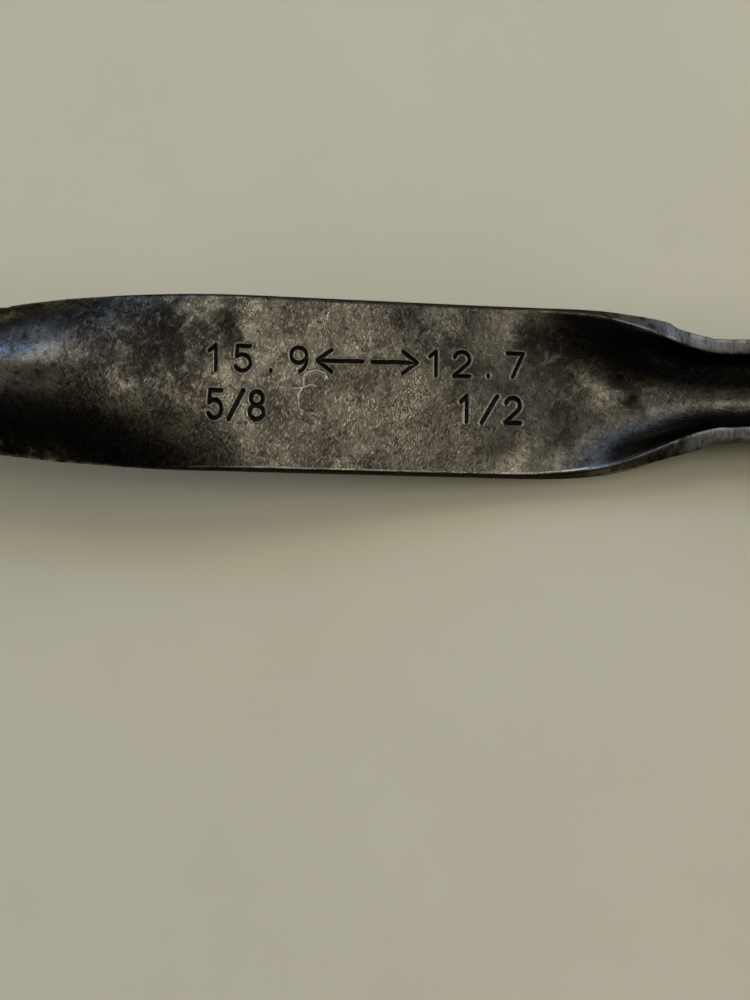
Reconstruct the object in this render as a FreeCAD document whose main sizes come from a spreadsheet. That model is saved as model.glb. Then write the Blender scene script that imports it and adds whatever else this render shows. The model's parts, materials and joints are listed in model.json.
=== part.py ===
"""A double-ended brick jointer: one piece of pressed strip steel, in millimetres.

The strip is flat in the middle, where the hand holds it. Towards each end it is folded into a
half-round runner that strikes a concave mortar joint. The two runners differ in width and they
face opposite ways, so the tool is a long S from the side: the narrow runner opens upwards and
bows up to its tip, and the wide one opens downwards and bows down to its tip.

The body is built about the middle of the grip, with X along the strip, Y across it and Z out of
the marked face. It is then laid down the way the tool rests on a floor: on the belly of the
narrow runner and on the two rims at the tip of the wide one.
"""

import FreeCAD
import Part
import Sketcher

import math
import os

NODE = "brick_jointer"

# alias and value: millimetres, or as the name says
DRIVING = [
    ("StripWidth", 22.2),
    ("StripThickness", 1.9),
    ("StripHalfLength", 149.0),
    ("GripHalfLength", 27.0),
    ("NeckRadius", 60.0),
    ("NeckTurnDegrees", 21.0),
    ("BowRadius", 400.0),
    ("NarrowRunnerWidth", 12.7),
    ("NarrowFoldStart", 16.5),
    ("NarrowFoldLength", 34.5),
    ("NarrowFoldSkew", 1.23),
    ("WideRunnerWidth", 15.9),
    ("WideFoldStart", 11.5),
    ("WideFoldLength", 58.0),
    ("WideFoldSkew", 0.74),
    ("FlatFloorShare", 0.1),
    ("FlatLegShare", 0.2),
    ("RunnerFloorHalf", 0.2),
    ("RimCornerRadius", 5.0),
    ("CutMargin", 2.0),
]
FOLD_STEPS = 7
STEEPEST_REST_DEGREES = 40.0
REST_MESH = 0.02
REST_HALVINGS = 40

QUARTER_TURN = "pi / 2"
HALF_WIDTH = "Sizes.StripWidth / 2"
NECK_LENGTH = "(Sizes.NeckRadius * Sizes.NeckTurnDegrees * pi / 180)"


def make_sheet(doc):
    """The spreadsheet that holds the driving dimensions."""
    sheet = doc.addObject("Spreadsheet::Sheet", "Sizes")
    for row, (alias, value) in enumerate(DRIVING, start=1):
        sheet.set(f"A{row}", alias)
        sheet.set(f"B{row}", str(value))
        sheet.setAlias(f"B{row}", alias)
    doc.recompute()


def add_sketch(body, name, role):
    """A sketch on one of the body's own origin planes, where it can be shifted and turned."""
    sketch = body.newObject("Sketcher::SketchObject", name)
    plane = next(f for f in body.Origin.OriginFeatures if f.Role == role)
    sketch.AttachmentSupport = [(plane, "")]
    sketch.MapMode = "FlatFace"
    return sketch


def add_value(sketch, name, expression):
    """A number of the sketch's own, worked out from the sheet."""
    sketch.addProperty("App::PropertyFloat", name, "Strip")
    sketch.setExpression(name, expression)


def add_path_values(sketch, along):
    """Where the strip's middle line has come to, at a length of strip from the grip's middle.

    The line is straight along the grip, turns through the neck and then bows along the runner.
    """
    past_grip = "max(Along - Sizes.GripHalfLength; 0)"
    neck_sine = "sin(NeckTurn * 1 rad)"
    neck_cosine = "cos(NeckTurn * 1 rad)"
    add_value(sketch, "Along", along)
    add_value(sketch, "NeckTurn", f"min({past_grip}; {NECK_LENGTH}) / Sizes.NeckRadius")
    add_value(sketch, "Turn", f"NeckTurn + max({past_grip} - {NECK_LENGTH}; 0) / Sizes.BowRadius")
    add_value(
        sketch,
        "Reach",
        f"min(Along; Sizes.GripHalfLength) + Sizes.NeckRadius * {neck_sine}"
        f" + Sizes.BowRadius * (sin(Turn * 1 rad) - {neck_sine})",
    )
    add_value(
        sketch,
        "Rise",
        f"Sizes.NeckRadius * (1 - {neck_cosine})"
        f" + Sizes.BowRadius * ({neck_cosine} - cos(Turn * 1 rad))",
    )


def add_fold_values(sketch, runner, share):
    """Floor, bend and leg lengths of half a section; share is 0 on the flat, 1 on the runner."""
    radius = f"((Sizes.{runner}RunnerWidth - Sizes.StripThickness) / 2 - Sizes.RunnerFloorHalf)"
    end_leg = f"({HALF_WIDTH} - Sizes.RunnerFloorHalf - {radius} * {QUARTER_TURN})"
    flat_floor = f"Sizes.FlatFloorShare * {HALF_WIDTH}"
    flat_leg = f"Sizes.FlatLegShare * {HALF_WIDTH}"
    add_value(sketch, "Share", share)
    add_value(sketch, "Fold", f"Share * {QUARTER_TURN}")
    add_value(sketch, "Floor", f"(1 - Share) * {flat_floor} + Share * Sizes.RunnerFloorHalf")
    add_value(sketch, "Leg", f"(1 - Share) * {flat_leg} + Share * {end_leg}")
    add_value(sketch, "Bend", f"{HALF_WIDTH} - Floor - Leg")


def set_across_path(sketch, side):
    """Stands a section square to the path at its own place; side is +1 at the narrow end."""
    sketch.AttachmentOffset = FreeCAD.Placement(
        FreeCAD.Vector(0, 0, 0), FreeCAD.Rotation(FreeCAD.Vector(1, 0, 0), 1)
    )
    sketch.setExpression("AttachmentOffset.Base.y", f"{side} * Rise * 1 mm")
    sketch.setExpression("AttachmentOffset.Base.z", f"{side} * Reach * 1 mm")
    sketch.setExpression("AttachmentOffset.Rotation.Angle", "-1 * Turn * 180 / pi")


def place(sketch, corner):
    """Where a corner, given by expressions for across and up, comes out."""
    across, up = (float(sketch.evalExpression(expression)) for expression in corner)
    return FreeCAD.Vector(across, up, 0)


def pin(sketch, edge, end, corner, axes="XY"):
    """Holds an edge's end, or an arc's centre, at a corner along one or both axes."""
    now = sketch.getPoint(edge, end)
    for axis, value, expression in (("X", now.x, corner[0]), ("Y", now.y, corner[1])):
        if axis in axes:
            held = Sketcher.Constraint(f"Distance{axis}", -1, 1, edge, end, value)
            number = sketch.addConstraint(held)
            sketch.setExpression(f"Constraints[{number}]", f"({expression}) * 1 mm")


def join(sketch, edge, end, other, other_end):
    """Makes an end of one edge meet an end of another."""
    sketch.addConstraint(Sketcher.Constraint("Coincident", edge, end, other, other_end))


def add_line(sketch, start, end):
    """A line between two corners, pinned at its end only."""
    edge = sketch.addGeometry(Part.LineSegment(place(sketch, start), place(sketch, end)))
    pin(sketch, edge, 2, end)
    return edge


def add_arc(sketch, start, end, centre):
    """An arc between two corners about a third. Its start is left to be joined or pinned.

    Gives the arc and the numbers of its start and its end: an arc always runs anticlockwise.
    """
    hub, first, last = (place(sketch, corner) for corner in (centre, start, end))
    angles = [math.atan2(point.y - hub.y, point.x - hub.x) for point in (first, last)]
    start_point, end_point = 1, 2
    if math.remainder(angles[1] - angles[0], math.tau) < 0:
        angles.reverse()
        start_point, end_point = 2, 1
    circle = Part.Circle(hub, FreeCAD.Vector(0, 0, 1), (first - hub).Length)
    edge = sketch.addGeometry(Part.ArcOfCircle(circle, *angles))
    pin(sketch, edge, 3, centre)
    out_from_hub = last - hub
    pin(sketch, edge, end_point, end, "X" if abs(out_from_hub.y) > abs(out_from_hub.x) else "Y")
    return edge, start_point, end_point


def face_corners(face, half, opens, folded):
    """Corners of half of one face of a section: floor end, fold end, leg end and fold centre.

    face is -1 for the convex face and +1 for the concave one, half is the side of the strip and
    opens is the way the rims point.
    """
    offset = f"{face} * Sizes.StripThickness / 2"
    if not folded:
        across = "Floor", "Floor + Bend", "Floor + Bend + Leg"
        return [(f"{half} * ({value})", f"{opens} * ({offset})") for value in across] + [None]
    sine = "sin(Fold * 1 rad)"
    cosine = "cos(Fold * 1 rad)"
    radius = f"(Bend / Fold - {offset})"
    fold_end = f"Floor + {radius} * {sine}", f"Bend / Fold - {radius} * {cosine}"
    corners = [
        ("Floor", offset),
        fold_end,
        (f"{fold_end[0]} + Leg * {cosine}", f"{fold_end[1]} + Leg * {sine}"),
        ("Floor", "Bend / Fold"),
    ]
    return [(f"{half} * ({across})", f"{opens} * ({up})") for across, up in corners]


def draw_face(sketch, face, opens, folded):
    """Floor, folds and legs of one face. Gives the leg edges, whose second ends are the rims."""
    left = face_corners(face, -1, opens, folded)
    right = face_corners(face, 1, opens, folded)
    floor = add_line(sketch, left[0], right[0])
    pin(sketch, floor, 1, left[0])
    legs = []
    for floor_end, (floor_corner, fold_corner, leg_corner, centre) in ((1, left), (2, right)):
        if folded:
            fold, fold_start, fold_last = add_arc(sketch, floor_corner, fold_corner, centre)
        else:
            fold, fold_start, fold_last = add_line(sketch, floor_corner, fold_corner), 1, 2
        join(sketch, floor, floor_end, fold, fold_start)
        leg = add_line(sketch, fold_corner, leg_corner)
        join(sketch, fold, fold_last, leg, 1)
        legs.append(leg)
    return legs


def draw_section(sketch, opens, folded):
    """The strip cut square across: two faces joined by the two rims."""
    convex = draw_face(sketch, -1, opens, folded)
    concave = draw_face(sketch, 1, opens, folded)
    for outer, inner in zip(convex, concave):
        rim = sketch.addGeometry(
            Part.LineSegment(sketch.getPoint(outer, 2), sketch.getPoint(inner, 2))
        )
        join(sketch, rim, 1, outer, 2)
        join(sketch, rim, 2, inner, 2)


def add_section(doc, body, runner, side, step):
    """One station of the fold between the flat grip (step 0) and the runner (the last step)."""
    sketch = add_sketch(body, f"{runner}Section{step}", "YZ_Plane")
    run = step / FOLD_STEPS
    skewed = f"pow({run}; Sizes.{runner}FoldSkew)"
    add_path_values(sketch, f"Sizes.{runner}FoldStart + {run} * Sizes.{runner}FoldLength")
    add_fold_values(sketch, runner, f"{skewed} * {skewed} * (3 - 2 * {skewed})")
    set_across_path(sketch, side)
    doc.recompute()
    draw_section(sketch, side, folded=step > 0)
    return sketch


def add_bow(doc, body, runner, side):
    """The runner's middle line, an arc from the end of the fold to the tip."""
    sketch = add_sketch(body, f"{runner}Bow", "XZ_Plane")
    add_path_values(sketch, "Sizes.StripHalfLength")
    add_value(sketch, "FoldedAt", f"Sizes.{runner}FoldStart + Sizes.{runner}FoldLength")
    add_value(sketch, "Remains", "(Along - FoldedAt) / Sizes.BowRadius")
    doc.recompute()
    hub = [
        "Reach - Sizes.BowRadius * sin(Turn * 1 rad)",
        "Rise + Sizes.BowRadius * cos(Turn * 1 rad)",
    ]
    start = [
        f"{hub[0]} + Sizes.BowRadius * sin((Turn - Remains) * 1 rad)",
        f"{hub[1]} - Sizes.BowRadius * cos((Turn - Remains) * 1 rad)",
    ]
    tip = ["Reach", "Rise"]
    start, tip, hub = ([f"{side} * ({value})" for value in corner] for corner in (start, tip, hub))
    arc, arc_start, _ = add_arc(sketch, start, tip, hub)
    pin(sketch, arc, arc_start, start)
    return sketch


def add_runner(doc, body, runner, side):
    """The fold away from the grip, then the bowed runner of constant section."""
    sections = [add_section(doc, body, runner, side, step) for step in range(FOLD_STEPS + 1)]
    fold = body.newObject("PartDesign::AdditiveLoft", f"{runner}Fold")
    fold.Profile = sections[0]
    fold.Sections = sections[1:]
    bow = add_bow(doc, body, runner, side)
    pipe = body.newObject("PartDesign::AdditivePipe", f"{runner}Runner")
    pipe.Profile = sections[-1]
    pipe.Spine = bow
    doc.recompute()


def add_grip(doc, body):
    """The flat middle of the strip, between the starts of the two folds."""
    sketch = add_sketch(body, "GripOutline", "XY_Plane")
    wide_end, narrow_end = "-1 * Sizes.WideFoldStart", "Sizes.NarrowFoldStart"
    corners = [
        (wide_end, f"-1 * {HALF_WIDTH}"),
        (narrow_end, f"-1 * {HALF_WIDTH}"),
        (narrow_end, HALF_WIDTH),
        (wide_end, HALF_WIDTH),
    ]
    edges = [
        add_line(sketch, start, end)
        for start, end in zip(corners, corners[1:] + corners[:1])
    ]
    for edge, following in zip(edges, edges[1:] + edges[:1]):
        join(sketch, edge, 2, following, 1)
    pad = body.newObject("PartDesign::Pad", "Grip")
    pad.Profile = sketch
    pad.Midplane = True
    pad.setExpression("Length", "Sizes.StripThickness * 1 mm")
    doc.recompute()


def cut_rim_corner(doc, body, runner, side):
    """Rounds the two rims off at a runner's tip, seen from the side."""
    sketch = add_sketch(body, f"{runner}TipCut", "XZ_Plane")
    add_path_values(sketch, "Sizes.StripHalfLength")
    add_fold_values(sketch, runner, "1")
    sketch.AttachmentOffset = FreeCAD.Placement(
        FreeCAD.Vector(0, 0, 0), FreeCAD.Rotation(FreeCAD.Vector(0, 0, 1), 1)
    )
    sketch.setExpression("AttachmentOffset.Base.x", f"{side} * Reach * 1 mm")
    sketch.setExpression("AttachmentOffset.Base.y", f"{side} * Rise * 1 mm")
    sketch.setExpression("AttachmentOffset.Rotation.Angle", "Turn * 180 / pi")
    doc.recompute()

    rim = "(Bend / Fold + Leg)"
    radius = "Sizes.RimCornerRadius"
    margin = "Sizes.CutMargin"
    in_line = (f"-1 * {radius}", rim), (f"-1 * {radius}", f"{rim} + {margin}")
    outside = (margin, f"{rim} + {margin}"), (margin, f"{rim} - {radius}")
    on_tip = "0", f"{rim} - {radius}"
    centre = f"-1 * {radius}", f"{rim} - {radius}"
    corners = [
        (f"{side} * ({along})", f"{side} * ({up})")
        for along, up in (*in_line, *outside, on_tip, centre)
    ]
    lines = [add_line(sketch, corners[n], corners[n + 1]) for n in range(4)]
    pin(sketch, lines[0], 1, corners[0])
    for line, following in zip(lines, lines[1:]):
        join(sketch, line, 2, following, 1)
    arc, arc_start, _ = add_arc(sketch, corners[4], corners[0], corners[5])
    join(sketch, lines[-1], 2, arc, arc_start)
    pocket = body.newObject("PartDesign::Pocket", f"{runner}RimCorners")
    pocket.Profile = sketch
    pocket.Type = "ThroughAll"
    pocket.Midplane = True
    doc.recompute()


def lowest(points, tilt, side):
    """How low one end of the tool reaches once it is tilted, narrow end down."""
    return min(
        point.z * math.cos(tilt) - point.x * math.sin(tilt)
        for point in points
        if point.x * side > 0
    )


def resting_tilt(points):
    """The tilt at which the narrow runner's belly and the wide runner's tip are level."""
    shallow, steep = 0.0, math.radians(STEEPEST_REST_DEGREES)
    for _ in range(REST_HALVINGS):
        tilt = (shallow + steep) / 2
        if lowest(points, tilt, -1) < lowest(points, tilt, 1):
            shallow = tilt
        else:
            steep = tilt
    return tilt


def lay_down(body):
    """Puts the tool on the floor as it rests, with the origin under the middle of its box."""
    points, _ = body.Shape.tessellate(REST_MESH)
    turn = FreeCAD.Rotation(FreeCAD.Vector(0, 1, 0), math.degrees(resting_tilt(points)))
    box = FreeCAD.BoundBox()
    for point in points:
        box.add(turn.multVec(point))
    foot = FreeCAD.Vector(box.Center.x, box.Center.y, box.ZMin)
    body.Placement = FreeCAD.Placement(-foot, turn)


def build():
    doc = FreeCAD.newDocument("BrickJointer")
    make_sheet(doc)
    body = doc.addObject("PartDesign::Body", "Jointer")
    body.Label = NODE
    add_grip(doc, body)
    for runner, side in (("Narrow", 1), ("Wide", -1)):
        add_runner(doc, body, runner, side)
    for runner, side in (("Narrow", 1), ("Wide", -1)):
        cut_rim_corner(doc, body, runner, side)
    lay_down(body)
    doc.recompute()

    for thing in doc.Objects:
        if "Invalid" in thing.State or "Error" in thing.State:
            raise RuntimeError(f"{thing.Label} did not recompute: {thing.State}")
    if body.Shape.isNull() or not body.Shape.isValid():
        raise RuntimeError(f"{body.Label} has no sound shape")
    os.makedirs("parts", exist_ok=True)
    body.Shape.exportStep(f"parts/{body.Label}.step")


build()
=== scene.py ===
"""The looks of a one-piece brick jointer: an aged steel strip, laid on a pale floor.

The strip is built again as a fine mesh, on the same path and with the same folds as the CAD
solid, so that it can carry what the solid leaves out: rounded edges, stamped marks, nicks and a
slightly uneven face. A place on the strip is (along, across, out): along the strip from the
middle of the grip, across it from its middle line, and out of its marked face.
"""

import json
import math

import bpy
import numpy as np
from mathutils import Matrix, Vector


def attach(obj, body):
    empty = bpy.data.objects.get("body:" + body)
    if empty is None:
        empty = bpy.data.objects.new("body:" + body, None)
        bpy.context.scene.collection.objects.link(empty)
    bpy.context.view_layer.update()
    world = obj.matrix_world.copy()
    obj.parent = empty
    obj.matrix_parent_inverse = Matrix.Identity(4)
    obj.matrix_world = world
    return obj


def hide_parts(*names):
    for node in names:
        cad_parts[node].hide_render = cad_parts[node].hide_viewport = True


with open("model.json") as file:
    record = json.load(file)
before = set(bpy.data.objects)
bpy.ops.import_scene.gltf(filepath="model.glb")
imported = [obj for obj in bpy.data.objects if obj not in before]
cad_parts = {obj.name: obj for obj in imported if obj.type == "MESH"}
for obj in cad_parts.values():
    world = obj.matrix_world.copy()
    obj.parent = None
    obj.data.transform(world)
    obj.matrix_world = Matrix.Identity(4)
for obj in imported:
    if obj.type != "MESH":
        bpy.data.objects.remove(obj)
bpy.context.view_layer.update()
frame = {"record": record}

MM = 0.001
NODE = "brick_jointer"

# The strip, as the solid has it
WIDTH = 22.2 * MM
THICKNESS = 1.9 * MM
HALF_LENGTH = 149.0 * MM
GRIP_HALF_LENGTH = 27.0 * MM
NECK_RADIUS = 60.0 * MM
NECK_TURN = math.radians(21.0)
BOW_RADIUS = 400.0 * MM
FLAT_FLOOR_SHARE = 0.1
FLAT_LEG_SHARE = 0.2
RUNNER_FLOOR_HALF = 0.2 * MM
RIM_CORNER_RADIUS = 5.0 * MM
NARROW = {
    "opens": 1,
    "width": 12.7 * MM,
    "fold_start": 16.5 * MM,
    "fold_length": 34.5 * MM,
    "fold_skew": 1.23,
}
WIDE = {
    "opens": -1,
    "width": 15.9 * MM,
    "fold_start": 11.5 * MM,
    "fold_length": 58.0 * MM,
    "fold_skew": 0.74,
}
FLAT_MIDDLE = (NARROW["fold_start"] - WIDE["fold_start"]) / 2

# What only the fine mesh has
EDGE_RADIUS = 0.55 * MM
RIM_EDGE_RADIUS = 0.22 * MM
RIM_FROM = 29.0 * MM
RIM_BLEND = 8.0 * MM
EDGE_STEPS = 5
EDGE_LINE_GAP = 0.08 * MM
SEEN_HALF_LENGTH = 60.0 * MM
SEEN_SPACING = 0.55 * MM
FAR_SPACING = 1.0 * MM
ACROSS_SPACING = 0.6 * MM
TIP_LENGTH = 12.0 * MM
FINE_STEPS = 7
FINE_REACH = 0.55 * MM

# How far in from a side or a corner its look reaches, and how softly it ends, in edge radii
SIDE_REACH = 0.8
SIDE_BLEND = 0.5
CORNER_REACH = 1.5
CORNER_BLEND = 1.0


# ---------------------------------------------------------------- the strip's shape


def smooth_step(x):
    """0 below 0 and 1 above 1, with an eased rise between."""
    x = np.clip(x, 0, 1)
    return x * x * (3 - 2 * x)


def path(along):
    """The strip's middle line: how far it has reached and risen, and how much it has turned."""
    distance = np.abs(along)
    side = np.sign(along)
    neck = np.clip((distance - GRIP_HALF_LENGTH) / NECK_RADIUS, 0, NECK_TURN)
    bow_start = GRIP_HALF_LENGTH + NECK_RADIUS * NECK_TURN
    turn = neck + np.clip(distance - bow_start, 0, None) / BOW_RADIUS
    reach = np.minimum(distance, GRIP_HALF_LENGTH) + NECK_RADIUS * np.sin(neck)
    reach += BOW_RADIUS * (np.sin(turn) - np.sin(neck))
    rise = NECK_RADIUS * (1 - np.cos(neck)) + BOW_RADIUS * (np.cos(neck) - np.cos(turn))
    return side * reach, side * rise, turn


def fold_share(end, along):
    """0 where the strip is flat and 1 where it has become a runner."""
    run = np.clip((np.abs(along) - end["fold_start"]) / end["fold_length"], 0, 1)
    return smooth_step(run ** end["fold_skew"])


def section(end, share, across, out):
    """Where a place on the strip lies in its cross-section: sideways and up."""
    half = WIDTH / 2
    end_radius = (end["width"] - THICKNESS) / 2 - RUNNER_FLOOR_HALF
    end_leg = half - RUNNER_FLOOR_HALF - end_radius * math.pi / 2
    floor = (1 - share) * FLAT_FLOOR_SHARE * half + share * RUNNER_FLOOR_HALF
    leg = (1 - share) * FLAT_LEG_SHARE * half + share * end_leg
    bend = half - floor - leg
    fold = np.maximum(share, 1e-6) * math.pi / 2
    radius = bend / fold

    inward = out * end["opens"]
    beyond_floor = np.abs(across) - floor
    angle = np.clip(beyond_floor / radius, 0, fold)
    on_leg = np.maximum(beyond_floor - bend, 0)
    sideways = np.minimum(np.abs(across), floor) + (radius - inward) * np.sin(angle)
    sideways += on_leg * np.cos(angle)
    height = radius - (radius - inward) * np.cos(angle) + on_leg * np.sin(angle)
    return np.sign(across) * sideways, end["opens"] * height


def on_strip(along, across, out):
    """Points of the strip in the grip's own frame, as an array of rows."""
    reach, rise, turn = path(along)
    narrow = section(NARROW, fold_share(NARROW, along), across, out)
    wide = section(WIDE, fold_share(WIDE, along), across, out)
    sideways, up = (np.where(along > 0, a, b) for a, b in zip(narrow, wide))
    return np.stack([reach - up * np.sin(turn), sideways, rise + up * np.cos(turn)], axis=-1)


def grip_to_row():
    """The move that lays the strip down where the solid lies, from its marked face's mount."""
    mount = next(m for m in frame["record"]["mounts"] if m["name"] == "grip_marked_face")
    tilt = math.atan2(mount["axis"][0], mount["axis"][2])
    turn = Matrix.Rotation(tilt, 4, "Y")
    face_middle = turn @ Vector((FLAT_MIDDLE, 0, THICKNESS / 2))
    return Matrix.Translation(Vector(mount["pos_m"]) - face_middle) @ turn


# ---------------------------------------------------------------- marks stamped in the grip


def arc(middle, radii, first, last, steps=12):
    """Points of part of an ellipse; first and last are in degrees, anticlockwise from +X."""
    turns = np.radians(np.linspace(first, last, steps))
    return [
        (middle[0] + radii[0] * math.cos(turn), middle[1] + radii[1] * math.sin(turn))
        for turn in turns
    ]


# Strokes of each sign in a cell one wide and one high
SIGNS = {
    "1": [[(0.2, 0.78), (0.55, 1.0), (0.55, 0.0)]],
    "2": [arc((0.5, 0.7), (0.42, 0.3), 165, -40) + [(0.05, 0.0), (0.95, 0.0)]],
    "5": [[(0.88, 1.0), (0.2, 1.0), (0.14, 0.56)] + arc((0.47, 0.33), (0.43, 0.33), 130, -150)],
    "7": [[(0.05, 1.0), (0.95, 1.0), (0.38, 0.0)]],
    "8": [arc((0.5, 0.75), (0.37, 0.25), 0, 360, 20), arc((0.5, 0.25), (0.44, 0.25), 0, 360, 20)],
    "9": [arc((0.5, 0.69), (0.42, 0.31), 0, 360, 20), arc((0.42, 0.6), (0.5, 0.6), 10, -75)],
    ".": [[(0.5, 0.0), (0.5, 0.05)]],
    "/": [[(0.05, -0.03), (0.95, 1.03)]],
    "-": [[(0.0, 0.5), (1.0, 0.5)]],
    "<": [[(0.8, 0.95), (0.0, 0.5), (0.8, 0.05)], [(0.0, 0.5), (1.5, 0.5)]],
    ">": [[(0.2, 0.95), (1.0, 0.5), (0.2, 0.05)], [(-0.5, 0.5), (1.0, 0.5)]],
}

# Each line of marks: its signs, where its first foot stands, and the sizes of its signs
MARKS = [
    {
        "signs": "15.9<-->12.7",
        "foot": (-17.3 * MM, 1.4 * MM),
        "rise": 0.013,
        "size": (2.35 * MM, 3.1 * MM),
        "pitch": 3.5 * MM,
        "stroke": 0.10 * MM,
    },
    {
        "signs": "5/8",
        "foot": (-17.0 * MM, -4.55 * MM),
        "rise": 0.0,
        "size": (2.0 * MM, 3.45 * MM),
        "pitch": 2.6 * MM,
        "stroke": 0.14 * MM,
    },
    {
        "signs": "1/2",
        "foot": (14.9 * MM, -4.0 * MM),
        "rise": 0.0,
        "size": (2.2 * MM, 3.25 * MM),
        "pitch": 3.1 * MM,
        "stroke": 0.14 * MM,
    },
]
MARK_DEPTH = 0.26 * MM
MARK_WALL = 0.15 * MM
BURR_HEIGHT = 0.03 * MM
BURR_REACH = 0.2 * MM

# Fresh scratches near the middle of the grip, as (along, across) in millimetres
SCRATCHES = [
    [(-4.95, 0.0), (-4.95, 1.1), (-4.6, 1.6), (-3.5, 1.95), (-2.3, 1.6), (-1.9, 0.9)],
    [(-6.2, -0.5), (-5.1, -0.35), (-4.1, 0.05), (-3.4, -0.1)],
    [(-5.1, -0.4), (-5.6, -1.2), (-5.5, -2.5)],
    [(-5.4, -3.1), (-5.0, -3.3)],
    [(-3.85, -3.5), (-3.5, -3.6)],
    [(-2.0, 9.3), (-2.1, 8.3)],
]
SCRATCH_STROKE = 0.07 * MM
SCRATCH_DEPTH = 0.03 * MM


def mark_strokes():
    """Every stamped stroke as rows of (start, end, half width), on the marked face."""
    rows = []
    for mark in MARKS:
        for number, sign in enumerate(mark["signs"]):
            shift = number * mark["pitch"]
            foot = np.array(mark["foot"]) + [shift, shift * mark["rise"]]
            for stroke in SIGNS[sign]:
                points = foot + np.array(stroke) * mark["size"]
                rows += [(*a, *b, mark["stroke"]) for a, b in zip(points, points[1:])]
    return np.array(rows)


def scratch_strokes():
    """Every scratch as rows of (start, end, half width), on the marked face."""
    rows = []
    for scratch in SCRATCHES:
        points = np.array(scratch) * MM
        rows += [(*a, *b, SCRATCH_STROKE) for a, b in zip(points, points[1:])]
    return np.array(rows)


def clearance(along, across, strokes):
    """How far each place is from the side of the nearest stroke; it is negative inside one."""
    nearest = np.full(along.shape, np.inf)
    for x0, y0, x1, y1, half_width in strokes:
        run, rise = x1 - x0, y1 - y0
        share = ((along - x0) * run + (across - y0) * rise) / max(run * run + rise * rise, 1e-12)
        share = np.clip(share, 0, 1)
        gap = np.hypot(along - x0 - share * run, across - y0 - share * rise) - half_width
        nearest = np.minimum(nearest, gap)
    return nearest


# ---------------------------------------------------------------- wear on the strip

UNEVEN_HEIGHT = 0.018 * MM
UNEVEN_WAVES = 9
UNEVEN_LENGTHS = 7 * MM, 22 * MM
NICKS = 46
NICK_LENGTHS = 0.25 * MM, 0.9 * MM
NICK_DEPTHS = 0.05 * MM, 0.16 * MM
NICK_REACH = 0.45 * MM

# Where each rim of the narrow end was trimmed, as (side, along), and the lip that is left there
UPSETS = [(1, 42.6 * MM), (-1, 46.8 * MM)]
UPSET_SWELL = 0.42 * MM
UPSET_REACH = 2.2 * MM
UPSET_START = 7 * MM
UPSET_RUN_UP = 6.5 * MM
UPSET_DROP = 0.6 * MM
TRIM_AHEAD = 3.5 * MM
TRIM_BLEND = 2.5 * MM


def uneven(along, across):
    """The slight waviness of a pressed face."""
    dice = np.random.default_rng(4)
    height = np.zeros(along.shape)
    for _ in range(UNEVEN_WAVES):
        length = dice.uniform(*UNEVEN_LENGTHS)
        heading, phase = dice.uniform(0, math.tau, 2)
        travel = along * math.cos(heading) + across * math.sin(heading)
        height += np.sin(math.tau * travel / length + phase)
    return UNEVEN_HEIGHT * height / math.sqrt(UNEVEN_WAVES)


def nicks(along, across, out):
    """How deep the long edges are dented, strongest on the corners of the strip."""
    dice = np.random.default_rng(11)
    depth = np.zeros(along.shape)
    for _ in range(NICKS):
        place = dice.uniform(-HALF_LENGTH, HALF_LENGTH)
        side, face = dice.choice([-1, 1], 2)
        length = dice.uniform(*NICK_LENGTHS)
        corner = np.hypot(across - side * WIDTH / 2, out - face * THICKNESS / 2)
        distance = np.hypot((along - place) / length, corner / NICK_REACH)
        depth += dice.uniform(*NICK_DEPTHS) * np.exp(-(distance ** 2))
    return depth


def upset(along, across, out):
    """The lip left on the narrow end's outer corners where the fold was trimmed."""
    swell = np.zeros(along.shape)
    for side, place in UPSETS:
        run_up = smooth_step((along - place + UPSET_START) / UPSET_RUN_UP)
        drop = 1 - smooth_step((along - place) / UPSET_DROP)
        near_rim = smooth_step(1 - (WIDTH / 2 - side * across) / UPSET_REACH)
        swell += UPSET_SWELL * run_up * drop * near_rim
    return np.where(out < 0, swell, 0)


def trimmed(along, across):
    """1 along the rims, whose sides were cut bright, and 0 on the older sides of the grip."""
    upper, lower = (place - TRIM_AHEAD for _, place in UPSETS)
    return smooth_step((np.abs(along) - np.where(across > 0, upper, lower)) / TRIM_BLEND)


# ---------------------------------------------------------------- the fine mesh


def face_lines():
    """Places across the flat of a face, closer together next to the rounded edges."""
    edge = WIDTH / 2 - EDGE_RADIUS
    beside_edge = edge - EDGE_LINE_GAP
    inner = np.linspace(-beside_edge, beside_edge, round(2 * beside_edge / ACROSS_SPACING) + 1)
    return np.concatenate([[-edge], inner, [edge]])


def strip_loop():
    """The strip's outline, once round: rows of (across, out, across normal, out normal)."""
    lines = face_lines()
    edge, inset = WIDTH / 2 - EDGE_RADIUS, THICKNESS / 2 - EDGE_RADIUS
    quarter = np.radians(np.linspace(90, 0, EDGE_STEPS + 1))
    rows = []
    for side in (1, -1):
        rows += [(across * side, side * THICKNESS / 2, 0, side) for across in lines[::-1]]
        for corner, turns in ((1, quarter[1:]), (-1, -quarter[:0:-1])):
            for turn in turns:
                sideways, up = math.cos(turn), math.sin(turn)
                across = -side * (edge + EDGE_RADIUS * sideways)
                out = side * (corner * inset + EDGE_RADIUS * up)
                rows.append((across, out, -side * sideways, side * up))
    return np.array(rows)


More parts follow.
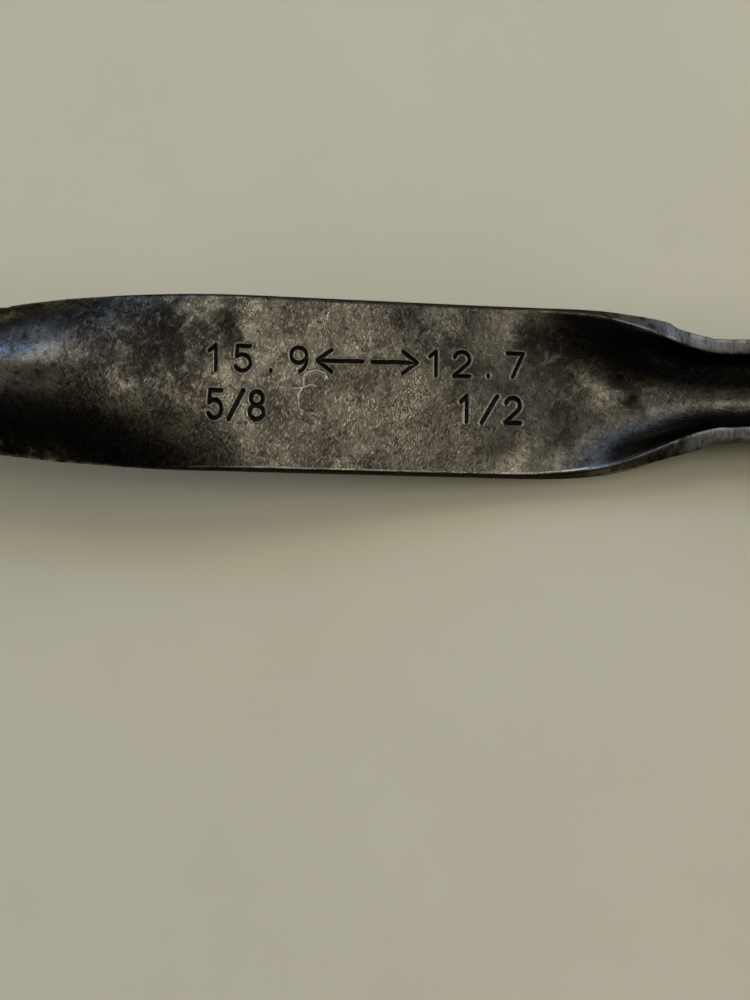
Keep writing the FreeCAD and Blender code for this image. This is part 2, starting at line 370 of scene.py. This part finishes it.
def strip_rows():
    """Places along the strip and, at the rounded tips, how far the outline has drawn in."""
    stops = [-HALF_LENGTH, -SEEN_HALF_LENGTH, SEEN_HALF_LENGTH, HALF_LENGTH]
    along = [
        np.linspace(a, b, round((b - a) / spacing) + 1)
        for a, b, spacing in zip(stops, stops[1:], (FAR_SPACING, SEEN_SPACING, FAR_SPACING))
    ]
    along = np.unique(np.concatenate(along))[1:-1]
    turns = np.radians(np.linspace(0, 90, EDGE_STEPS + 1))
    tip = HALF_LENGTH - EDGE_RADIUS * (1 - np.sin(turns))
    drawn_in = EDGE_RADIUS * (1 - np.cos(turns))
    rows = [(-a, b) for a, b in zip(tip[::-1], drawn_in[::-1])]
    rows += [(a, 0) for a in along]
    rows += list(zip(tip, drawn_in))
    return np.array(rows)


def rim_share(along):
    """0 along the grip, whose edges are rolled, and 1 where the rims were trimmed sharp."""
    return smooth_step((np.abs(along) - RIM_FROM) / RIM_BLEND)


def sharpen_rims(along, across, out):
    """Draws the rounded edges of the loop out to the tighter ones that the rims have."""
    radius = EDGE_RADIUS + (RIM_EDGE_RADIUS - EDGE_RADIUS) * rim_share(along)
    sizes = (across, WIDTH / 2), (out, THICKNESS / 2)
    beyond = [np.clip(np.abs(value) - size + EDGE_RADIUS, 0, None) for value, size in sizes]
    at_corner = (beyond[0] > 0) & (beyond[1] > 0)
    moved = [
        np.where(at_corner, np.sign(value) * (size - radius + past * radius / EDGE_RADIUS), value)
        for (value, size), past in zip(sizes, beyond)
    ]
    return moved


def runner_height(end, across, out):
    """How far a place stands off the middle line where its end has become a full runner."""
    return section(end, np.ones(across.shape), across, out)[1] * end["opens"]


def round_rim_corners(along, across, out):
    """Draws the strip's ends in near the rims, so the tips are rounded from the side."""
    height = [runner_height(end, across, out) for end in (NARROW, WIDE)]
    rim = [runner_height(end, np.array([WIDTH / 2]), np.zeros(1)) for end in (NARROW, WIDE)]
    above = np.where(along > 0, height[0] - rim[0], height[1] - rim[1]) + RIM_CORNER_RADIUS
    above = np.clip(above, 0, RIM_CORNER_RADIUS)
    short = RIM_CORNER_RADIUS - np.sqrt(RIM_CORNER_RADIUS ** 2 - above ** 2)
    into_tip = np.clip((np.abs(along) - HALF_LENGTH + TIP_LENGTH) / TIP_LENGTH, 0, 1)
    return along - np.where(along > 0, 1, -1) * short * into_tip


def grid_places(rows, loop):
    """(along, across, out) of every crossing of the rows with the loop."""
    along = np.repeat(rows[:, :1], len(loop), axis=1)
    across = loop[:, 0] - rows[:, 1:] * loop[:, 2]
    out = loop[:, 1] - rows[:, 1:] * loop[:, 3]
    along = round_rim_corners(along, *sharpen_rims(along, across, out))
    return np.stack([along, across, out], axis=-1)


def cells_to_refine(places, face_count, strokes):
    """The cells of the marked face that a stroke passes through or near."""
    corners = places[:, :face_count]
    middles = (corners[:-1, :-1] + corners[1:, 1:]) / 2
    reach = SEEN_SPACING / 2 + FINE_REACH
    return clearance(middles[..., 0], middles[..., 1], strokes) < reach


class StripGrid:
    """The strip's places, and the ones between them that a fine cell or its neighbours need.

    Steps between rows and between columns are counted in fine steps, so that a coarse cell can
    take in the extra corners of a fine neighbour and no gap opens between them.
    """

    def __init__(self, places, fine):
        self.places = places
        self.fine = fine
        self.spots = list(places.reshape(-1, 3))
        self.numbers = {}

    def is_fine(self, row, column):
        inside = 0 <= row < self.fine.shape[0] and 0 <= column < self.fine.shape[1]
        return inside and self.fine[row, column]

    def spot(self, row_step, column_step):
        """The number of the corner at a fine step, which is made when it is first asked for."""
        row, row_rest = divmod(row_step, FINE_STEPS)
        column, column_rest = divmod(column_step, FINE_STEPS)
        if not row_rest and not column_rest:
            column_count = self.places.shape[1]
            return row * column_count + column % column_count
        if (row_step, column_step) not in self.numbers:
            u, v = row_rest / FINE_STEPS, column_rest / FINE_STEPS
            ahead, beside = row + (row_rest > 0), column + (column_rest > 0)
            near = self.places[row, column] * (1 - v) + self.places[row, beside] * v
            far = self.places[ahead, column] * (1 - v) + self.places[ahead, beside] * v
            self.numbers[row_step, column_step] = len(self.spots)
            self.spots.append(near * (1 - u) + far * u)
        return self.numbers[row_step, column_step]

    def fine_faces(self, row, column):
        """The small square faces of a fine cell."""
        top, left = row * FINE_STEPS, column * FINE_STEPS
        corners = (0, 0), (0, 1), (1, 1), (1, 0)
        return [
            [self.spot(top + a + down, left + b + over) for down, over in corners]
            for a in range(FINE_STEPS)
            for b in range(FINE_STEPS)
        ]

    def coarse_face(self, row, column):
        """One face for a cell, with the corners that its fine neighbours have on its sides."""
        top, left = row * FINE_STEPS, column * FINE_STEPS
        neighbours = (row - 1, column), (row, column + 1), (row + 1, column), (row, column - 1)
        above, right, below, before = (
            range(FINE_STEPS) if self.is_fine(*cell) else (0,) for cell in neighbours
        )
        face = [self.spot(top, left + step) for step in above]
        face += [self.spot(top + step, left + FINE_STEPS) for step in right]
        face += [self.spot(top + FINE_STEPS, left + FINE_STEPS - step) for step in below]
        face += [self.spot(top + FINE_STEPS - step, left) for step in before]
        return face


def strip_cells(places, fine):
    """All the places and faces of the strip: one face a cell, or a finer grid where fine is set."""
    grid = StripGrid(places, fine)
    faces = []
    row_count, column_count = places.shape[:2]
    for row in range(row_count - 1):
        for column in range(column_count):
            if grid.is_fine(row, column):
                faces += grid.fine_faces(row, column)
            else:
                faces.append(grid.coarse_face(row, column))
    return np.array(grid.spots), faces


def tip_faces(row_count, loop, face_count):
    """The two ends of the strip, each a row of faces across and one at each rim."""
    column_count = len(loop)
    side_count = column_count // 2
    faces = []
    for start, order in ((0, 1), ((row_count - 1) * column_count, -1)):
        for column in range(face_count - 1):
            under = side_count + face_count - 1 - column
            quad = [start + n for n in (column, under, under - 1, column + 1)]
            faces.append(quad[::order])
        for first in (face_count - 1, side_count + face_count - 1):
            past = first + side_count - face_count + 2
            rim = [start + n % column_count for n in range(first, past)]
            faces.append(rim[::-order])
    return faces


# Old stains on the marked face, and dark patches of painted shade where the face only lies in shade
# or mirrors the dark room, such as (-42, -9.5) on the lower side of the wide end and, partly,
# (29.5, 6.5) by the narrow neck: along, across and reach in millimetres, and strength
STAINS_AND_SHADE = [
    (-22.5, 7.5, 3.6, 1.0),
    (-22.0, 4.0, 4.5, 0.75),
    (-14.8, 7.8, 2.0, 0.9),
    (-13.8, 5.6, 1.6, 0.8),
    (-30.0, 7.5, 3.5, 0.5),
    (-30.0, -5.5, 7.0, 0.5),
    (29.5, 6.5, 5.5, 0.9),
    (24.5, 6.5, 3.0, 0.8),
    (36.3, 2.4, 2.3, 1.0),
    (37.9, -0.6, 2.0, 1.0),
    (8.0, 9.5, 4.0, 0.5),
    (16.5, 3.0, 3.0, 0.5),
    (28.0, -1.0, 5.0, 0.4),
    (30.0, -6.0, 4.0, 0.5),
    (47.0, 6.0, 5.5, 0.9),
    (56.0, 5.5, 7.0, 0.9),
    (53.0, 0.5, 4.0, 0.4),
    (-40.0, 10.0, 8.0, 0.55),
    (-42.0, -9.5, 9.0, 1.0),
    (-27.0, 3.8, 4.5, 0.6),
    (-19.0, 5.0, 4.0, 0.45),
    (21.0, -2.0, 5.5, 0.4),
    (11.5, 7.0, 3.5, 0.4),
    (14.5, 4.5, 3.0, 0.4),
    (-20.0, -3.0, 5.0, 0.45),
    (-31.0, 4.0, 4.0, 0.4),
]


def stain_and_shade(along, across):
    """How far the marked face is darkened by stains and by painted shade, from 0 to 1, before its
    patchiness.
    """
    left_clean = np.ones(along.shape)
    for place, side, reach, strength in STAINS_AND_SHADE:
        gap = np.hypot(along - place * MM, across - side * MM) / (reach * MM)
        left_clean *= 1 - strength * np.exp(-(gap ** 2))
    return 1 - left_clean


def mark_wear(along, across, out, marks, scratches):
    """How struck, burred and scratched each place is; only the marked face is worn so."""
    on_face = (out > 0) & (np.abs(along) < SEEN_HALF_LENGTH)
    to_mark, to_scratch = (np.full(along.shape, 1.0) for _ in range(2))
    to_mark[on_face] = clearance(along[on_face], across[on_face], marks)
    to_scratch[on_face] = clearance(along[on_face], across[on_face], scratches)
    from_burr = (to_mark - MARK_WALL - BURR_REACH / 2) / (BURR_REACH / 2)
    return {
        "struck": 1 - smooth_step(to_mark / MARK_WALL),
        "burr": np.exp(-(from_burr ** 2)),
        "scratched": 1 - smooth_step(to_scratch / SCRATCH_STROKE),
    }


def edge_shares(across, out):
    """How far each place is onto a side of the strip, and onto one of its corners."""
    to_side = WIDTH / 2 - np.abs(across)
    to_face = THICKNESS / 2 - np.abs(out)
    to_corner = np.hypot(to_side, to_face)
    on_side = smooth_step((SIDE_REACH - to_side / EDGE_RADIUS) / SIDE_BLEND)
    on_corner = smooth_step((CORNER_REACH - to_corner / EDGE_RADIUS) / CORNER_BLEND)
    return on_side, on_corner


def shaped_points(along, across, out, wear):
    """Where each place lies, with the marks, scratches, nicks, lips and waviness in it."""
    relief = BURR_HEIGHT * wear["burr"] - MARK_DEPTH * wear["struck"]
    relief -= SCRATCH_DEPTH * wear["scratched"]
    dent = nicks(along, across, out)
    keep = 1 - dent / (THICKNESS / 2)
    shaped_out = out * keep + relief + uneven(along, across) - upset(along, across, out)
    return on_strip(along, across - np.sign(across) * dent, shaped_out)


def build_strip():
    """The strip's mesh, with what its material needs to know kept as attributes."""
    rows, loop = strip_rows(), strip_loop()
    face_count = len(face_lines())
    marks, scratches = mark_strokes(), scratch_strokes()
    places = grid_places(rows, loop)
    fine = cells_to_refine(places, face_count, np.concatenate([marks, scratches]))
    spots, faces = strip_cells(places, fine)
    faces += tip_faces(len(rows), loop, face_count)

    along, across, out = spots.T
    wear = mark_wear(along, across, out, marks, scratches)
    on_side, on_corner = edge_shares(across, out)
    across, out = sharpen_rims(along, across, out)
    values = {
        **wear,
        # This holds real stains and painted shade: dark patches where the face only lies in shade
        # or mirrors the dark room.
        "stain_and_shade": stain_and_shade(along, across) * (out > 0),
        "side": on_side,
        "rim": rim_share(along),
        "trimmed": trimmed(along, across),
        "corner": on_corner,
    }

    mesh = bpy.data.meshes.new(NODE)
    mesh.from_pydata(shaped_points(along, across, out, wear).tolist(), [], faces)
    mesh.transform(grip_to_row())
    mesh.shade_smooth()
    for name, value in values.items():
        mesh.attributes.new(name, "FLOAT", "POINT").data.foreach_set("value", value.astype("f"))
    place = mesh.attributes.new("place", "FLOAT_VECTOR", "POINT")
    place.data.foreach_set("vector", spots.astype("f").ravel())

    strip = bpy.data.objects.new("jointer_strip", mesh)
    bpy.context.collection.objects.link(strip)
    return strip


# ---------------------------------------------------------------- materials


def add_node(tree, kind, inputs=None, **settings):
    """A node with its settings made and its inputs set, each to a number or from a socket."""
    node = tree.nodes.new(kind)
    for name, value in settings.items():
        setattr(node, name, value)
    for name, value in (inputs or {}).items():
        if isinstance(value, bpy.types.NodeSocket):
            tree.links.new(value, node.inputs[name])
        else:
            node.inputs[name].default_value = value
    return node


def attribute(tree, name, output="Fac"):
    """One of the attributes that build_strip keeps on the mesh."""
    return add_node(tree, "ShaderNodeAttribute", attribute_name=name).outputs[output]


def noise(tree, place, size, detail=2.0, roughness=0.5, distortion=0.0, stretch=(1, 1, 1)):
    """Noise whose features are about size metres, longer along an axis where stretch is more."""
    scaled = add_node(
        tree,
        "ShaderNodeVectorMath",
        {0: place, 1: [1 / (size * axis) for axis in stretch]},
        operation="MULTIPLY",
    )
    inputs = {
        "Vector": scaled.outputs[0],
        "Scale": 1.0,
        "Detail": detail,
        "Roughness": roughness,
        "Distortion": distortion,
    }
    return add_node(tree, "ShaderNodeTexNoise", inputs).outputs["Fac"]


def spread(tree, value, low, high, to_low=0.0, to_high=1.0):
    """value from low to high, eased into a range from to_low to to_high."""
    inputs = {
        "Value": value,
        "From Min": low,
        "From Max": high,
        "To Min": to_low,
        "To Max": to_high,
    }
    node = add_node(tree, "ShaderNodeMapRange", inputs, interpolation_type="SMOOTHSTEP")
    return node.outputs["Result"]


def calculate(tree, operation, first, second=0.0, third=0.0):
    """One step of arithmetic; MULTIPLY_ADD is first times second, plus third."""
    inputs = {0: first, 1: second, 2: third}
    return add_node(tree, "ShaderNodeMath", inputs, operation=operation).outputs[0]


def blend(tree, share, first, second, mode="MIX"):
    """One colour over another."""
    node = add_node(tree, "ShaderNodeMix", data_type="RGBA", blend_type=mode)
    for socket, value in (("Factor_Float", share), ("A_Color", first), ("B_Color", second)):
        target = next(i for i in node.inputs if i.identifier == socket)
        if isinstance(value, bpy.types.NodeSocket):
            tree.links.new(value, target)
        else:
            target.default_value = value
    return next(o for o in node.outputs if o.identifier == "Result_Color")


def multiply(tree, first, *others):
    """The product of numbers or sockets."""
    for other in others:
        first = calculate(tree, "MULTIPLY", first, other)
    return first


CLEAN_STEEL = (0.150, 0.137, 0.110, 1)
DULL_STEEL = (0.066, 0.060, 0.048, 1)
BROWN_STEEL = (0.038, 0.026, 0.017, 1)
BLACK_OXIDE = (0.006, 0.005, 0.004, 1)
RUSTY_SIDE = (0.055, 0.040, 0.027, 1)
BRIGHT_STEEL = (0.45, 0.42, 0.35, 1)
CUT_STEEL = (0.115, 0.117, 0.12, 1)
EDGE_TINT = (0.3, 0.3, 0.3, 1)

CLOUD_SIZE = 6 * MM
PATCH_SIZE = 1.7 * MM
GRAIN_SIZE = 0.7 * MM
SPECK_SIZE = 0.3 * MM
HAIRLINE_WIDTH = 0.12 * MM
RIB_WIDTH = 0.25 * MM
FIBRE_WIDTH = 0.2 * MM
FIBRE_ANGLES = 72, 118, 35

# How lively the film is along the strip: from and to which place it changes, and between
# which shares of its full strength
CALM_NARROW = 8 * MM, 22 * MM, 1.0, 0.5
CALM_WIDE = -38 * MM, -30 * MM, 0.4, 1.0

# A painted highlight: the thin bright line beside the edge on the -Y side, where the rounded edge
# catches the light: where it begins and ends, as distances in from the edge, and where along the
# strip it starts
HIGHLIGHT_LINE_INNER = 0.75 * MM, 0.6 * MM
HIGHLIGHT_LINE_OUTER = 0.4 * MM, 0.5 * MM
HIGHLIGHT_LINE_START = -24 * MM, -18 * MM

STAIN_AND_SHADE_DARKNESS = 0.9
DIRT_DARKNESS = 0.93
BUMP_STRENGTH = 0.55
BUMP_HEIGHT = 0.07 * MM


def fibres(tree, place, angle):
    """Short straight strokes that all lie about one way."""
    inputs = {"Vector": place, "Angle": angle}
    turned = add_node(tree, "ShaderNodeVectorRotate", inputs, rotation_type="Z_AXIS")
    stretch = (3.2, 1, 1)
    return noise(tree, turned.outputs[0], FIBRE_WIDTH, 1, distortion=0.3, stretch=stretch)


def steel_textures(tree, place):
    """The patterns that the steel's colour, gloss and height share."""
    strokes = [fibres(tree, place, math.radians(angle)) for angle in FIBRE_ANGLES]
    return {
        "cloud": noise(tree, place, CLOUD_SIZE, detail=4, roughness=0.6),
        "patch": noise(tree, place, PATCH_SIZE, detail=4, roughness=0.65, distortion=0.6),
        "grain": noise(tree, place, GRAIN_SIZE, detail=3, roughness=0.6, distortion=0.4),
        "speck": noise(tree, place, SPECK_SIZE, roughness=0.6, distortion=0.3),
        "pale_strokes": calculate(tree, "MAXIMUM", strokes[0], strokes[1]),
        "dark_strokes": calculate(tree, "MINIMUM", strokes[1], strokes[2]),
        "hairlines": noise(tree, place, HAIRLINE_WIDTH, detail=1, stretch=(14, 1, 1)),
        "ribs": noise(tree, place, RIB_WIDTH, roughness=0.6, stretch=(1, 8, 8)),
    }


def film_colour(tree, textures, liveliness):
    """The grey-brown film, with pale and dark strokes in it and dark grain."""
    colour = blend(tree, spread(tree, textures["cloud"], 0.35, 0.65), DULL_STEEL, CLEAN_STEEL)
    brown = multiply(tree, spread(tree, textures["patch"], 0.42, 0.66, 0, 0.6), liveliness)
    colour = blend(tree, brown, colour, BROWN_STEEL)
    pale = multiply(tree, spread(tree, textures["pale_strokes"], 0.56, 0.82, 0, 0.58), liveliness)
    colour = blend(tree, pale, colour, BRIGHT_STEEL)
    dark = multiply(tree, spread(tree, textures["dark_strokes"], 0.42, 0.2, 0, 0.85), liveliness)
    colour = blend(tree, dark, colour, BLACK_OXIDE)
    return blend(tree, spread(tree, textures["grain"], 0.45, 0.28, 0, 0.75), colour, BLACK_OXIDE)


def stain_and_shade_cover(tree, textures):
    """Where the stains and the painted shade lie, broken up into patches."""
    stain_and_shade_share = attribute(tree, "stain_and_shade")
    cover = calculate(tree, "MULTIPLY_ADD", stain_and_shade_share, 0.25, textures["patch"])
    return multiply(tree, stain_and_shade_share, spread(tree, cover, 0.50, 0.72))


def colour_sides(tree, textures, colour, side, rim):
    """Rust on the old sides, paler ribbed metal on the trimmed rims, and rubbed corners."""
    cut_colour = blend(tree, spread(tree, textures["ribs"], 0.4, 0.62), DULL_STEEL, CUT_STEEL)
    side_colour = blend(tree, attribute(tree, "trimmed"), RUSTY_SIDE, cut_colour)
    colour = blend(tree, side, colour, side_colour)
    worn_corner = calculate(tree, "MULTIPLY_ADD", rim, 0.6, 0.04)
    patchy = spread(tree, textures["patch"], 0.62, 0.4)
    rubbed = multiply(tree, attribute(tree, "corner"), patchy, worn_corner)
    return blend(tree, rubbed, colour, BRIGHT_STEEL)


def colour_highlight_line(tree, textures, colour, spot):
    """A painted highlight: the thin bright line beside the edge on the -Y side, where the rounded
    edge catches the light.
    """
    to_near_side = multiply(tree, spot.outputs["Y"], -1)
    begin, end = ([WIDTH / 2 - inset for inset in insets] for insets in (HIGHLIGHT_LINE_INNER, HIGHLIGHT_LINE_OUTER))
    # lip is the mask of the painted highlight line, bright steel laid beside the -Y edge.
    lip = multiply(
        tree,
        spread(tree, to_near_side, *begin),
        spread(tree, to_near_side, *end),
        spread(tree, spot.outputs["X"], *HIGHLIGHT_LINE_START),
        spread(tree, textures["patch"], 0.38, 0.6, 0.1, 0.75),
    )
    return blend(tree, lip, colour, BRIGHT_STEEL)


def colour_marks(tree, textures, colour, dirt):
    """Bright burrs and scratches, and dirt in the bottoms of the stamped marks."""
    patchy = spread(tree, textures["patch"], 0.3, 0.7, 0.05, 0.5)
    colour = blend(tree, multiply(tree, attribute(tree, "burr"), patchy), colour, BRIGHT_STEEL)
    broken = spread(tree, textures["speck"], 0.25, 0.5, 0.3, 1)
    scratched = multiply(tree, attribute(tree, "scratched"), broken)
    colour = blend(tree, scratched, colour, BRIGHT_STEEL)
    return blend(tree, dirt, colour, BLACK_OXIDE)


def steel_roughness(tree, textures, stained_and_shaded, dirt, side):
    """Smoother where the steel is cleaner, rougher in stains and painted shade, in dirt and on the
    sides.
    """
    roughness = spread(tree, textures["cloud"], 0.3, 0.7, 0.32, 0.25)
    for share, amount in ((stained_and_shaded, 0.1), (dirt, 0.35), (side, 0.15)):
        roughness = calculate(tree, "MULTIPLY_ADD", share, amount, roughness)
    return roughness


def steel_bump(tree, textures, liveliness, side, rim):
    """The fine relief of the film, and the ribs that shearing left on the rims."""
    raised = multiply(tree, textures["pale_strokes"], liveliness)
    ribs = multiply(tree, textures["ribs"], side, rim)
    height = multiply(tree, textures["speck"], 0.3)
    parts = (
        (raised, 0.5),
        (textures["grain"], 0.8),
        (textures["hairlines"], 0.12),
        (textures["patch"], 0.8),
        (ribs, 1.6),
    )
    for part, amount in parts:
        height = calculate(tree, "MULTIPLY_ADD", part, amount, height)
    inputs = {"Strength": BUMP_STRENGTH, "Distance": BUMP_HEIGHT, "Height": height}
    return add_node(tree, "ShaderNodeBump", inputs).outputs["Normal"]


def worn_steel():
    """Aged, uncoated steel: a patchy grey-brown film, stains and painted shade, grain, scratches,
    bright edges and a painted highlight beside the -Y edge.
    """
    material = bpy.data.materials.new("worn_steel")
    material.use_nodes = True
    tree = material.node_tree
    shader = tree.nodes["Principled BSDF"]
    place = attribute(tree, "place", "Vector")
    spot = add_node(tree, "ShaderNodeSeparateXYZ", {"Vector": place})
    textures = steel_textures(tree, place)
    calms = (spread(tree, spot.outputs["X"], *calm) for calm in (CALM_NARROW, CALM_WIDE))
    liveliness = multiply(tree, *calms)
    side, rim, struck = (attribute(tree, name) for name in ("side", "rim", "struck"))
    stained_and_shaded = stain_and_shade_cover(tree, textures)
    dirt = multiply(tree, struck, struck, DIRT_DARKNESS)

    colour = film_colour(tree, textures, liveliness)
    # Stains and painted shade, such as on the lower side of the wide end, darken the film towards
    # black oxide.
    colour = blend(tree, multiply(tree, stained_and_shaded, STAIN_AND_SHADE_DARKNESS), colour, BLACK_OXIDE)
    colour = colour_sides(tree, textures, colour, side, rim)
    # A painted highlight along the -Y edge of the grip.
    colour = colour_highlight_line(tree, textures, colour, spot)
    colour = colour_marks(tree, textures, colour, dirt)
    tree.links.new(colour, shader.inputs["Base Color"])
    roughness = steel_roughness(tree, textures, stained_and_shaded, dirt, side)
    tree.links.new(roughness, shader.inputs["Roughness"])
    shader.inputs["Metallic"].default_value = 1.0
    shader.inputs["Specular Tint"].default_value = EDGE_TINT
    normal = steel_bump(tree, textures, liveliness, side, rim)
    tree.links.new(normal, shader.inputs["Normal"])
    return material


FLOOR_TONES = (0.785, 0.730, 0.525, 1), (0.865, 0.810, 0.592, 1)
FLOOR_CLOUD = 30 * MM


def floor_material():
    """A plain, pale floor with a faint unevenness of tone."""
    material = bpy.data.materials.new("pale_floor")
    material.use_nodes = True
    tree = material.node_tree
    shader = tree.nodes["Principled BSDF"]
    place = add_node(tree, "ShaderNodeTexCoord").outputs["Object"]
    cloud = noise(tree, place, FLOOR_CLOUD, detail=3, roughness=0.6)
    colour = blend(tree, cloud, *FLOOR_TONES)
    tree.links.new(colour, shader.inputs["Base Color"])
    shader.inputs["Roughness"].default_value = 0.6
    return material


# ---------------------------------------------------------------- floor, light and camera

FLOOR_SIZE = 4.0

# Each light's direction from the origin, distance and size in metres, power in watts, and colour
LIGHTS = {
    "window": {
        "towards": (-0.34, 0.57, 0.75),
        "distance": 1.2,
        "size": (0.16, 0.18),
        "power": 1.3,
        "colour": (0.08, 0.34, 1.0),
    },
    "window_glow": {
        "towards": (-0.04, 0.57, 0.82),
        "distance": 1.2,
        "size": (0.90, 0.70),
        "power": 2.1,
        "colour": (0.97, 0.98, 0.93),
    },
    "window_edge": {
        "towards": (-0.11, 0.45, 0.89),
        "distance": 1.2,
        "size": (0.18, 0.16),
        "power": 0.36,
        "colour": (1.0, 0.95, 0.88),
    },
    "low_window": {
        "towards": (-0.15, 0.88, 0.46),
        "distance": 1.3,
        "size": (0.90, 0.45),
        "power": 1.4,
        "colour": (0.52, 0.66, 1.0),
    },
    "wall": {
        "towards": (0.06, 0.44, 0.90),
        "distance": 1.2,
        "size": (0.22, 0.14),
        "power": 0.22,
        "colour": (1.0, 0.92, 0.78),
    },
    "ceiling": {
        "towards": (0.365, 0.115, 0.92),
        "distance": 1.2,
        "size": (0.28, 0.18),
        "power": 0.88,
        "colour": (1.0, 0.96, 0.86),
    },
    "near_room": {
        "towards": (0.26, -0.18, 0.95),
        "distance": 1.2,
        "size": (0.42, 0.32),
        "power": 0.12,
        "colour": (1.0, 0.80, 0.50),
    },
    "left_room": {
        "towards": (-0.33, 0.05, 0.94),
        "distance": 1.2,
        "size": (0.22, 0.80),
        "power": 0.35,
        "colour": (1.0, 0.92, 0.76),
    },
    "left_fill": {
        "towards": (-1.0, -0.15, 0.42),
        "distance": 1.5,
        "size": (0.8, 0.8),
        "power": 6.5,
        "colour": (0.93, 0.95, 1.0),
    },
    "right_fill": {
        "towards": (1.0, 0.25, 0.42),
        "distance": 1.5,
        "size": (0.8, 0.8),
        "power": 11.0,
        "colour": (1.0, 0.96, 0.90),
    },
}
ROOM_COLOUR = (0.004, 0.004, 0.004, 1)


def add_floor():
    """A large flat floor under the tool."""
    mesh = bpy.data.meshes.new("floor")
    half = FLOOR_SIZE / 2
    corners = [(-half, -half, 0), (half, -half, 0), (half, half, 0), (-half, half, 0)]
    mesh.from_pydata(corners, [], [(0, 1, 2, 3)])
    floor = bpy.data.objects.new("floor", mesh)
    bpy.context.collection.objects.link(floor)
    mesh.materials.append(floor_material())


def add_lights():
    """Rectangular lights that all face the origin, in a nearly black room."""
    for name, light in LIGHTS.items():
        lamp = bpy.data.lights.new(name, "AREA")
        lamp.shape = "RECTANGLE"
        lamp.size, lamp.size_y = light["size"]
        lamp.energy = light["power"]
        lamp.color = light["colour"]
        holder = bpy.data.objects.new(name, lamp)
        bpy.context.collection.objects.link(holder)
        towards = Vector(light["towards"]).normalized()
        holder.location = towards * light["distance"]
        holder.rotation_mode = "QUATERNION"
        holder.rotation_quaternion = towards.to_track_quat("Z", "Y")
    world = bpy.data.worlds.new("room")
    world.use_nodes = True
    world.node_tree.nodes["Background"].inputs["Color"].default_value = ROOM_COLOUR
    bpy.context.scene.world = world


# The camera's place from the middle of the grip, and its turn from looking straight down
CAMERA_FROM_GRIP = (31.06 * MM, -20.18 * MM, 180.9 * MM)
CAMERA_TURN = (math.radians(1.99), math.radians(8.30), math.radians(1.04))
CAMERA_LENS = 52.2


def add_camera():
    """The close view of the grip from above, tilted a little."""
    camera = bpy.data.cameras.new("camera")
    camera.lens = CAMERA_LENS
    camera.clip_start = 0.01
    holder = bpy.data.objects.new("camera", camera)
    bpy.context.collection.objects.link(holder)
    holder.location = grip_to_row().translation + Vector(CAMERA_FROM_GRIP)
    holder.rotation_euler = CAMERA_TURN
    bpy.context.scene.camera = holder


def main():
    """Builds the scene."""
    strip = build_strip()
    strip.data.materials.append(worn_steel())
    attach(strip, "root")
    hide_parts(NODE)
    add_floor()
    add_lights()
    add_camera()
    bpy.context.scene.view_settings.view_transform = "Standard"


main()
